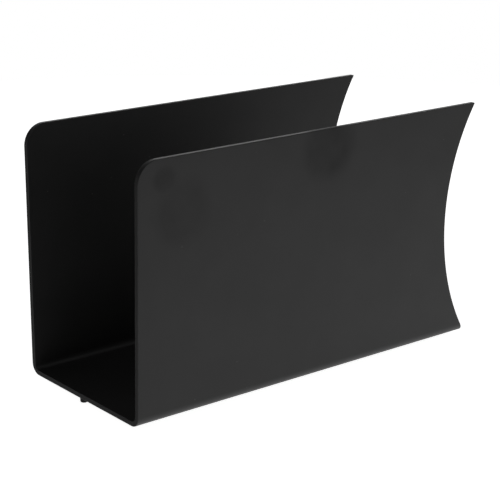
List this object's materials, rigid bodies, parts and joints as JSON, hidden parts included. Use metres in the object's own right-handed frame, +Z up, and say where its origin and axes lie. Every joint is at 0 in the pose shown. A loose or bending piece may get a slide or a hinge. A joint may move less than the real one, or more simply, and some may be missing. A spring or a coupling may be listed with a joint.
{
  "type": "napkin holder",
  "caption": "Open napkin holder: a coated steel sheet bent into a tall channel, top corners rounded at one end, a concave grip cut at the other, on small round rubber feet.",
  "frame": {"origin": "under the middle of the holder's bounding box, on the surface that it stands on", "axes": "+X along the walls, from the near end with rounded corners to the far end with the concave grip cut; +Y from the front wall to the back wall; +Z up"},
  "size_m": [0.1702, 0.0746, 0.102],
  "materials": {
    "powder_coat": "matt black powder coat with a fine texture",
    "foot_rubber": "satin black moulded rubber",
    "foot_adhesive": "acrylic adhesive, matt"
  },
  "bodies": {
    "root": {"holder_shell": "powder_coat", "near_foot": "foot_rubber", "near_foot_adhesive": "foot_adhesive", "far_front_foot": "foot_rubber", "far_front_foot_adhesive": "foot_adhesive", "far_back_foot": "foot_rubber", "far_back_foot_adhesive": "foot_adhesive"}
  },
  "joints": []
}
